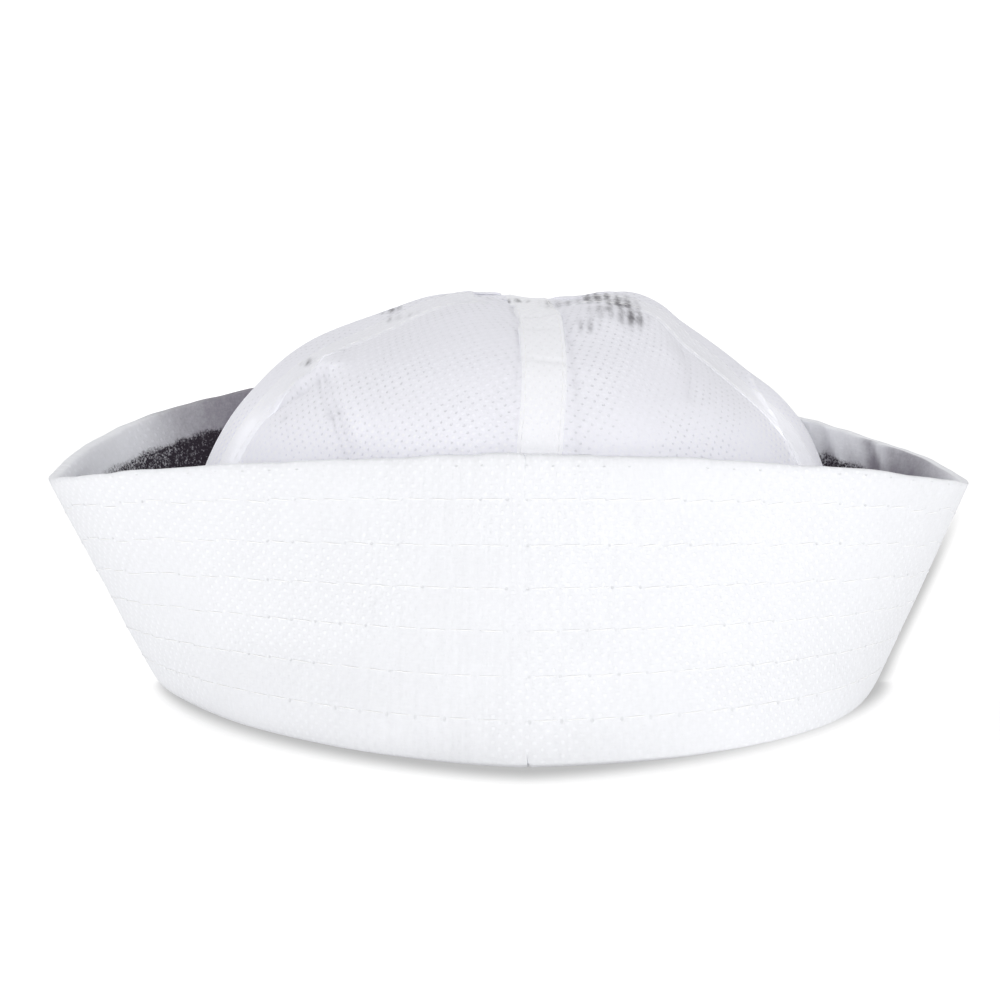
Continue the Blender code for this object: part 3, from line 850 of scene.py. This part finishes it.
class CAP_OT_brim_halves(bpy.types.Operator):
    """Dress the two halves of the turned-up brim"""

    bl_idname = "cap.brim_halves"
    bl_label = "Brim halves"

    def execute(self, context):
        cloth, stitch, _ = settings()
        material = cloth_material(
            "brim cloth", cloth.brim_color, cloth, 0.02, 0.25, cloth.brim_weave, stitch.brim_pitch)
        degrees, girth = girth_table()
        for side in BRIM_DIRECTIONS:
            piece = cloth_copy(f"brim_{side}", f"brim_cloth_{side}", BRIM_HOLD)
            points = points_of(piece)
            direction, reach = directions_of(points)
            share = points[:, 2] / rim_of_piece(points)
            row = row_number(share)
            round_brim = np.interp(direction, degrees, girth)
            if side == "left":
                round_brim = np.where(direction < 90, round_brim + girth[-1], round_brim)
            set_map(piece, "cloth", round_brim, points[:, 2])
            set_map(piece, "rows", round_brim / stitch.brim_pitch, row)

            outward = level_outward(points)
            round_way = np.stack((-outward[:, 1], outward[:, 0], outward[:, 2]), 1)
            facing = facing_inward(piece, outward)
            inner = ease(facing, 0.05, 0.45)
            out = brim_stands_out(points, direction, row, inner, cloth.brim_wave)
            up = rim_lift(points, direction, share)
            shade, dark_painted_shadow = cuff_painted_shade(points, direction, share)
            slant = round_brim - points[:, 2] * 0.35
            ripples = soft_noise(np.stack((slant, points[:, 2] * 0.12, 0 * share), 1), GATHER_WIDTH, 25)
            gathers = between(direction, *GATHER_SPAN) * inner * ease(share, 0.3, 0.7)
            out = out + GATHER_DEPTH * gathers * ripples
            moved = points + outward * out[:, None] + round_way * seam_draw(direction, reach)[:, None]
            moved[:, 2] += up

            # Painted shade inside the brim, reaching over the rim's top at the back left, and near-black
            # painted shadow low inside it
            over_rim = between(direction, *BACK_LEFT_SPAN) * ease(share, 0.93, 0.97)
            covered = ease(facing + 0.6 * over_rim, 0.05, 0.45)
            # Painted shade on the outside of the brim at its right end
            set_number(piece, "dim", BRIM_END_PAINTED_SHADE * ease(points[:, 0], 60 * MM, 125 * MM) * (1 - inner))
            set_number(piece, "grey", dark_painted_shadow * inner)
            set_number(piece, "outside", 1 - inner)
            set_number(piece, "inside", np.clip(shade * covered * (1 + 0.75 * gathers * ripples), 0, 1))
            set_points(piece, moved)
            finish_piece(piece, material, f"brim_{side}")
        return {"FINISHED"}


def cuff_painted_shade(points, direction, share):
    """How much painted shade and painted shadow the inside of the brim gets at each point."""
    rows = [row_of(CUFF_COLUMNS, values) for values in CUFF_PAINTED_SHADE]
    spots = [r["direction"] for r in rows]
    marks = ([r[column] for r in rows] for column in CUFF_COLUMNS[1:])
    rim_shade, low_shade, dark_painted_shadow, top = (np.interp(direction, spots, values) for values in marks)
    above_lap = ease(points[:, 2], 20 * MM, 26 * MM)
    tip = between(direction, *LEFT_TIP_SPAN)
    climb = (1 - tip) * ease(share, 0.78, 0.97) + tip * ease(share, 0.925, 0.955)
    shade = low_shade + (rim_shade - low_shade) * climb
    ragged = 0.8 * soft_noise(points, 2.2 * MM, 26)
    deep = 1 - ease(points[:, 2], (top - 2.2 + ragged) * MM, (top + 1.0 + ragged) * MM)
    return shade * above_lap, dark_painted_shadow * deep * above_lap * ease(points[:, 2], 36 * MM, 50 * MM)


# Stitches


def stitch_shape(sides):
    """One stitch, one metre long and thick: a rounded bar along X, lying on Z = 0, modelled once."""
    deselect_all()
    turned = (0, math.pi / 2, 0)
    bpy.ops.mesh.primitive_uv_sphere_add(segments=sides, ring_count=6, radius=0.5, rotation=turned)
    bar = bpy.context.object
    bpy.ops.object.transform_apply(location=False, rotation=True, scale=False)
    points = points_of(bar)
    faces = [tuple(p.vertices) for p in bar.data.polygons]
    mesh = bar.data
    bpy.data.objects.remove(bar)
    bpy.data.meshes.remove(mesh)
    return points, faces


def sew(name, spots, length, thread, shape, material):
    """Joins copies of one stitch, one at each spot: a middle, a way along the cloth and a way out of it."""
    if not spots:
        raise RuntimeError(f"no stitch could be laid for {name}")
    points, faces = shape
    along_bar, aside_bar, out_of_cloth = points[:, 0], points[:, 1], points[:, 2]
    arched = out_of_cloth * 0.5 + 0.14 * (1 - (2 * along_bar) ** 2) - 0.06
    size = np.stack((along_bar * length, aside_bar * thread, arched * thread), 1)
    all_points, all_faces = [], []
    for middle, along, out in spots:
        aside = np.cross(out, along)
        base = len(all_points) * len(points)
        all_points.append(middle + size @ np.stack((along, aside, out)))
        all_faces += [tuple(base + i for i in face) for face in faces]
    mesh = bpy.data.meshes.new(name)
    mesh.from_pydata(np.concatenate(all_points).tolist(), [], all_faces)
    mesh.update()
    piece = new_piece(name, mesh)
    bpy.ops.object.shade_smooth()
    mesh.materials.append(material)
    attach(piece, "root")


def surface_of(name):
    """A tree of a dressed piece's faces, to lay stitches on."""
    mesh = bpy.data.objects[name].data
    faces = [tuple(p.vertices) for p in mesh.polygons]
    return BVHTree.FromPolygons([v.co.copy() for v in mesh.vertices], faces)


def laid_spots(path, pitch):
    """Spots a pitch apart on a path of points and outward ways."""
    places = np.array([p for p, _ in path])
    outs = np.array([o for _, o in path])
    run = np.r_[0, np.cumsum(np.linalg.norm(np.diff(places, axis=0), axis=1))]
    spots = []
    at = pitch
    while at + pitch / 2 < run[-1]:
        middle, before, after = (
            np.array([np.interp(at + ahead, run, places[:, k]) for k in range(3)])
            for ahead in (0, -pitch * 0.4, pitch * 0.4))
        out = np.array([np.interp(at, run, outs[:, k]) for k in range(3)])
        along = after - before
        along /= np.linalg.norm(along)
        out -= along * (out @ along)
        out /= np.linalg.norm(out)
        spots.append((middle, along, out))
        at += pitch
    return spots


def rim_of_frame():
    """Degrees from the front, and the height of the rim at each, from the brim's solids."""
    points = brim_solid_points()
    direction, _ = directions_of(points)
    spots = np.arange(0, 361, 4.0)
    return spots, np.array([points[np.abs((direction - s + 180) % 360 - 180) < 3.2, 2].max() for s in spots])


def brim_spot(tree, rim, direction, share):
    """A place on the outside of the brim, the way round it and the way out of it, or nothing beside it."""
    way, round_way = ways_at(direction)
    way = Vector(way)
    height = share * float(np.interp(direction, *rim))
    origin = Vector((*AXIS[:2], height)) + way * 0.2
    place, normal, _, _ = tree.ray_cast(origin, -way)
    if place is None:
        return None
    out = np.array(normal if normal.dot(way) > 0 else -normal)
    along = round_way - out * (round_way @ out)
    along /= np.linalg.norm(along)
    return np.array(place), along, out


class CAP_OT_brim_stitches(bpy.types.Operator):
    """Sew the rows of stitches round the brim"""

    bl_idname = "cap.brim_stitches"
    bl_label = "Brim stitches"

    def execute(self, context):
        _, stitch, _ = settings()
        material = thread_material("brim thread", stitch.thread_color)
        shape = stitch_shape(stitch.sides)
        degrees, girth = girth_table()
        rim = rim_of_frame()
        for side, (start, end) in BRIM_DIRECTIONS.items():
            tree = surface_of(f"brim_cloth_{side}")
            turns, rest = divmod(end, 360)
            first = math.ceil(np.interp(start + 1, degrees, girth) / stitch.brim_pitch)
            last = math.floor((turns * girth[-1] + np.interp(rest, degrees, girth)) / stitch.brim_pitch)
            runs = [number * stitch.brim_pitch % girth[-1] for number in range(first, last)]
            directions = [np.interp(run, girth, degrees) for run in runs]
            spots = [brim_spot(tree, rim, d, share) for share in ROW_SHARES[:-1] for d in directions]
            spots = [spot for spot in spots if spot]
            length = stitch.brim_pitch * BRIM_STITCH_SHARE
            sew(f"brim_stitches_{side}", spots, length, stitch.thread, shape, material)
        return {"FINISHED"}


def strip_middle(corners, side, up, way):
    """How far aside the middle of a strip runs at an angle up from the table, or nothing beyond its ends."""
    out = corners - AXIS
    steep = np.arctan2(out[:, 2], out @ way)
    near = np.abs(steep - up) < math.radians(2.5)
    if not near.any():
        return None
    aside = out[near] @ side
    return (aside.min() + aside.max()) / 2


def edge_path(tree, corners, direction, steps, aside):
    """Places along a strip, this far aside of its middle, each with the way out of the cloth there."""
    way, side = ways_at(direction)
    path = []
    for step in steps:
        up = math.radians(step)
        ray = way * math.cos(up) + np.array((0, 0, 1)) * math.sin(up)
        middle = strip_middle(corners, side, up, way)
        if middle is None:
            continue
        origin = AXIS + ray * 0.2 + side * (middle + aside)
        place, normal, _, _ = tree.ray_cast(Vector(origin), Vector(-ray))
        if place is not None:
            out = np.array(normal)
            path.append((np.array(place), out if out @ ray > 0 else -out))
    return path


class CAP_OT_strip_stitches(bpy.types.Operator):
    """Sew both edges of each strip down"""

    bl_idname = "cap.strip_stitches"
    bl_label = "Strip stitches"

    def execute(self, context):
        _, stitch, _ = settings()
        material = thread_material("strip thread", stitch.thread_color)
        shape = stitch_shape(stitch.sides)
        length, thread = stitch.strip_pitch * STRIP_STITCH_SHARE, stitch.thread * STRIP_THREAD_SHARE
        for name, direction in STRIP_DIRECTIONS.items():
            tree = surface_of(f"strip_cloth_{name}")
            corners = points_of(bpy.data.objects[f"strip_cloth_{name}"])
            steps = np.arange(*(CENTER_SEWN if name == "center" else STRIP_SEWN), SEWN_STEP)
            spots = []
            for sign in (-1, 1):
                path = edge_path(tree, corners, direction, steps, sign * (STRIP_HALF_WIDTH - stitch.edge))
                if len(path) > 2:
                    spots += laid_spots(path, stitch.strip_pitch)
            sew(f"strip_stitches_{name}", spots, length, thread, shape, material)
        return {"FINISHED"}


# Stage


def floor_material(stage):
    """A white floor that gives off light, with painted shadows round the fold of the cap and behind it."""
    m = Maker("white floor")
    place = m.place
    x, y, _ = m.parts(place)
    from_fold = m.node("ShaderNodeVectorMath", {"operation": "SUBTRACT"}, n0=place, n1=FOLD_MIDDLE)
    shares = m.parts(m.stretched(from_fold.outputs[0], 1 / FOLD_HALF_WIDTH, 1 / FOLD_HALF_DEPTH, 0.0))[:2]
    powers = [share.math("ABSOLUTE").math("POWER", FOLD_POWER) for share in shares]
    away = (powers[0] + powers[1]).math("POWER", 1 / FOLD_POWER)
    forward = m.step(y, -0.085, 0.01, 1.0, 0.0)
    fold_painted_shadow = m.step((away - 1.0) / (forward * 0.125 + 0.05), 0.0, 1.0, 1.0, 0.0)
    beside = (x - y * BEHIND_LEAN - BEHIND_START) * (1 / math.hypot(1, BEHIND_LEAN))
    behind_painted_shadow = m.step(beside, 0.0, BEHIND_SOFT, 1.0, 0.0) * m.step(x, -0.05, 0.08)
    behind_painted_shadow = behind_painted_shadow * m.step(y, -0.03, -0.01) * m.step(y, 0.12, 0.282, 1.0, 0.0)
    # Painted shadows take light from the floor's colour and its glow
    light = 1.0 - fold_painted_shadow.math("MAXIMUM", behind_painted_shadow) * PAINTED_SHADOW_DEPTH
    length = m.node("ShaderNodeVectorMath", {"operation": "LENGTH"}, n0=place)
    glow = m.step(length.outputs["Value"], 0.20, 0.90, 0.80, 1.0) * light
    return m.surface(
        Base_Color=m.tinted(stage.floor_color, light), Roughness=0.95,
        Emission_Color=glow, Emission_Strength=stage.floor_glow)


def sweep_floor():
    """The floor, which sweeps up behind the cap."""
    deselect_all()
    bpy.ops.mesh.primitive_grid_add(x_subdivisions=4, y_subdivisions=40, size=1, location=(0, 1.0, -0.2 * MM))
    floor = bpy.context.object
    floor.name = "floor"
    bpy.ops.object.transform_apply(location=True, rotation=False, scale=False)
    points = points_of(floor)
    depth = (points[:, 1] - 1.0) * FLOOR_LENGTH + FLOOR_SHIFT
    turn = np.clip((depth - FLOOR_BEND) / FLOOR_RADIUS, 0, math.pi / 2)
    above = np.maximum(0, depth - FLOOR_BEND - FLOOR_RADIUS * math.pi / 2)
    points[:, 0] *= FLOOR_WIDTH
    points[:, 1] = np.minimum(depth, FLOOR_BEND) + FLOOR_RADIUS * np.sin(turn)
    points[:, 2] = FLOOR_RADIUS * (1 - np.cos(turn)) + above
    set_points(floor, points)
    bpy.ops.object.shade_smooth()
    return floor


class CAP_OT_stage(bpy.types.Operator):
    """Set the floor, the light and the camera"""

    bl_idname = "cap.stage"
    bl_label = "Stage"

    def execute(self, context):
        _, _, stage = settings()
        floor = sweep_floor()
        floor.data.materials.append(floor_material(stage))
        for name, place, size, power in LAMPS:
            bpy.ops.object.light_add(type="AREA", location=place)
            lamp = context.object
            lamp.name = name
            lamp.data.shape, lamp.data.energy = "RECTANGLE", getattr(stage, power)
            lamp.data.size, lamp.data.size_y = size
            lamp.rotation_euler = (LAMP_AIM - Vector(place)).to_track_quat("-Z", "Y").to_euler()
        world = bpy.data.worlds.new("studio air")
        world.use_nodes = True
        background = world.node_tree.nodes["Background"]
        background.inputs["Color"].default_value = (1.0, 1.0, 1.0, 1.0)
        background.inputs["Strength"].default_value = stage.air
        context.scene.world = world
        pitch = math.pi / 2 - stage.camera_pitch
        bpy.ops.object.camera_add(location=CAMERA_PLACE, rotation=(pitch, 0, 0))
        camera = context.object
        camera.name = "photo camera"
        camera.data.lens, camera.data.sensor_width = stage.lens, 36.0
        camera.data.clip_start, camera.data.clip_end = 0.01, 30.0
        context.scene.camera = camera
        context.scene.view_settings.view_transform = "Standard"
        return {"FINISHED"}


class CAP_PT_panel(bpy.types.Panel):
    """Lists the steps that dress the cap"""

    bl_idname = "CAP_PT_panel"
    bl_label = "Sailor cap"
    bl_space_type = "VIEW_3D"
    bl_region_type = "UI"
    bl_category = "Sailor cap"

    def draw(self, context):
        for step in STEPS:
            self.layout.operator(step.bl_idname)
        for group in settings():
            for name in group.__annotations__:
                self.layout.prop(group, name)


SETTINGS = {"cap_cloth": CapClothSettings, "cap_stitch": CapStitchSettings, "cap_stage": CapStageSettings}
STEPS = (
    CAP_OT_stage, CAP_OT_crown_panels, CAP_OT_seam_strips,
    CAP_OT_brim_halves, CAP_OT_brim_stitches, CAP_OT_strip_stitches)


def register():
    """Adds the settings, the operators and the panel."""
    for kind in (*SETTINGS.values(), *STEPS, CAP_PT_panel):
        bpy.utils.register_class(kind)
    for name, kind in SETTINGS.items():
        setattr(bpy.types.Scene, name, PointerProperty(type=kind))


def unregister():
    """Takes them away again."""
    for name in SETTINGS:
        delattr(bpy.types.Scene, name)
    for kind in (CAP_PT_panel, *STEPS, *SETTINGS.values()):
        bpy.utils.unregister_class(kind)


def main():
    """Dresses the cap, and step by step."""
    register()
    for step in STEPS:
        name = step.bl_idname.split(".")[1]
        getattr(bpy.ops.cap, name)()


if __name__ == "__main__":
    main()
